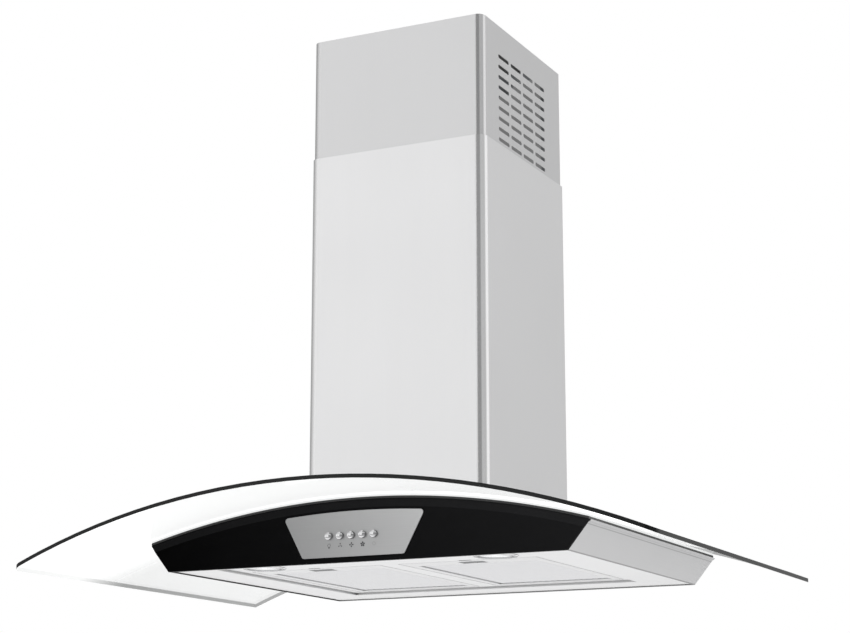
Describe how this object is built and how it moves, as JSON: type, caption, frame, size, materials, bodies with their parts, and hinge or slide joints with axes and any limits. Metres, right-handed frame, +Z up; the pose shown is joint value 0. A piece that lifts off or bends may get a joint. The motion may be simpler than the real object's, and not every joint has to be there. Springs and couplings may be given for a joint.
{
  "type": "island range hood",
  "caption": "Island range hood: arched glass canopy over a steel body with gloss fascia, push buttons, grease filters and lamps, hung from a telescoping square chimney.",
  "frame": {"origin": "centre of the ceiling plate's top face, where it meets the ceiling", "axes": "+Z up into the ceiling, -Y towards the fascia with the push buttons, +X to the right of a person facing the fascia"},
  "size_m": [0.9, 0.64, 0.765],
  "materials": {
    "cover_steel": "satin light grey steel, fine vertical brushing",
    "body_steel": "brushed stainless steel",
    "zinc_steel": "galvanised sheet",
    "canopy_glass": "clear toughened glass, polished edge",
    "seal_rubber": "black silicone",
    "fascia_gloss": "gloss black panel",
    "control_metal": "brushed aluminium",
    "chrome": "polished chrome",
    "white_plastic": "moulded white plastic",
    "black_plastic": "moulded black plastic",
    "lamp_glass": "frosted glass",
    "fan_sheet": "grey powder coat",
    "motor_paint": "black stove enamel",
    "impeller_plastic": "moulded impeller",
    "fastener_steel": "zinc plated screws",
    "filter_metal": "bright aluminium frame",
    "mesh_metal": "expanded aluminium mesh",
    "latch_plastic": "grey moulded plastic"
  },
  "bodies": {
    "ceiling_frame": {"ceiling_plate": "zinc_steel", "upper_rails": "zinc_steel", "upper_cover_front": "cover_steel", "upper_cover_back": "cover_steel", "upper_cover_screws": "fastener_steel"},
    "canopy": {"canopy_glass": "canopy_glass", "glass_seal": "seal_rubber", "hood_shell": "body_steel", "underside_pan": "body_steel", "fascia": "fascia_gloss", "control_plate": "control_metal", "switch_block": "white_plastic", "lamp_ring_left": "chrome", "lamp_ring_right": "chrome", "lamp_lens_left": "lamp_glass", "lamp_lens_right": "lamp_glass", "lamp_housing_left": "white_plastic", "lamp_housing_right": "white_plastic", "lamp_bulb_left": "lamp_glass", "lamp_bulb_right": "lamp_glass", "plenum_neck": "zinc_steel", "deck_plate": "zinc_steel", "deck_screws": "fastener_steel", "lower_rails": "zinc_steel", "rail_bolts": "fastener_steel", "foot_bolts": "fastener_steel", "scroll_casing": "fan_sheet", "inlet_guard": "black_plastic", "motor_bracket": "zinc_steel", "motor_case": "motor_paint", "motor_bearings": "fastener_steel", "outlet_collar": "white_plastic", "damper_rod": "fastener_steel", "connection_box": "white_plastic", "connection_box_lid": "white_plastic", "cable_gland": "black_plastic", "run_capacitor": "white_plastic"},
    "lower_chimney": {"lower_cover_front": "cover_steel", "lower_cover_back": "cover_steel", "lower_cover_screws": "fastener_steel"},
    "light_button": {"button_light": "chrome"},
    "low_button": {"button_low": "chrome"},
    "medium_button": {"button_medium": "chrome"},
    "high_button": {"button_high": "chrome"},
    "off_button": {"button_off": "chrome"},
    "left_filter": {"filter_frame_left": "filter_metal", "filter_mesh_left": "mesh_metal"},
    "right_filter": {"filter_frame_right": "filter_metal", "filter_mesh_right": "mesh_metal"},
    "left_latch": {"filter_latch_left": "latch_plastic"},
    "right_latch": {"filter_latch_right": "latch_plastic"},
    "fan_rotor": {"impeller": "impeller_plastic", "motor_shaft": "fastener_steel", "impeller_nut": "fastener_steel"},
    "back_flap": {"damper_flap_back": "zinc_steel"},
    "front_flap": {"damper_flap_front": "zinc_steel"}
  },
  "joints": [
    {"name": "height_adjustment", "type": "slide", "parent": "ceiling_frame", "child": "canopy", "axis": [0, 0, 1], "range_m": [-0.2, 0.08]},
    {"name": "lower_cover_lift", "type": "slide", "parent": "canopy", "child": "lower_chimney", "axis": [0, 0, 1], "range_m": [0, 0.09]},
    {"name": "light_button_press", "type": "slide", "parent": "canopy", "child": "light_button", "axis": [0, 1, 0], "range_m": [0, 0.003], "stiffness_N_per_m": 250, "springref_m": -0.002},
    {"name": "low_button_press", "type": "slide", "parent": "canopy", "child": "low_button", "axis": [0, 1, 0], "range_m": [0, 0.003], "stiffness_N_per_m": 250, "springref_m": -0.002},
    {"name": "medium_button_press", "type": "slide", "parent": "canopy", "child": "medium_button", "axis": [0, 1, 0], "range_m": [0, 0.003], "stiffness_N_per_m": 250, "springref_m": -0.002},
    {"name": "high_button_press", "type": "slide", "parent": "canopy", "child": "high_button", "axis": [0, 1, 0], "range_m": [0, 0.003], "stiffness_N_per_m": 250, "springref_m": -0.002},
    {"name": "off_button_press", "type": "slide", "parent": "canopy", "child": "off_button", "axis": [0, 1, 0], "range_m": [0, 0.003], "stiffness_N_per_m": 250, "springref_m": -0.002},
    {"name": "left_filter_tilt", "type": "hinge", "parent": "canopy", "child": "left_filter", "pos_m": [-0.112, 0.1585, -0.7565], "axis": [1, 0, 0], "range_deg": [0, 70]},
    {"name": "left_latch_slide", "type": "slide", "parent": "left_filter", "child": "left_latch", "axis": [0, 1, 0], "range_m": [0, 0.006], "stiffness_N_per_m": 300, "springref_m": -0.003},
    {"name": "right_filter_tilt", "type": "hinge", "parent": "canopy", "child": "right_filter", "pos_m": [0.112, 0.1585, -0.7565], "axis": [1, 0, 0], "range_deg": [0, 70]},
    {"name": "right_latch_slide", "type": "slide", "parent": "right_filter", "child": "right_latch", "axis": [0, 1, 0], "range_m": [0, 0.006], "stiffness_N_per_m": 300, "springref_m": -0.003},
    {"name": "fan_spin", "type": "hinge", "parent": "canopy", "child": "fan_rotor", "pos_m": [0, 0.03, -0.64], "axis": [1, 0, 0], "continuous": true},
    {"name": "back_flap_swing", "type": "hinge", "parent": "canopy", "child": "back_flap", "pos_m": [0, 0, -0.5074], "axis": [1, 0, 0], "range_deg": [0, 75]},
    {"name": "front_flap_swing", "type": "hinge", "parent": "canopy", "child": "front_flap", "pos_m": [0, 0, -0.5074], "axis": [-1, 0, 0], "range_deg": [0, 75]}
  ]
}
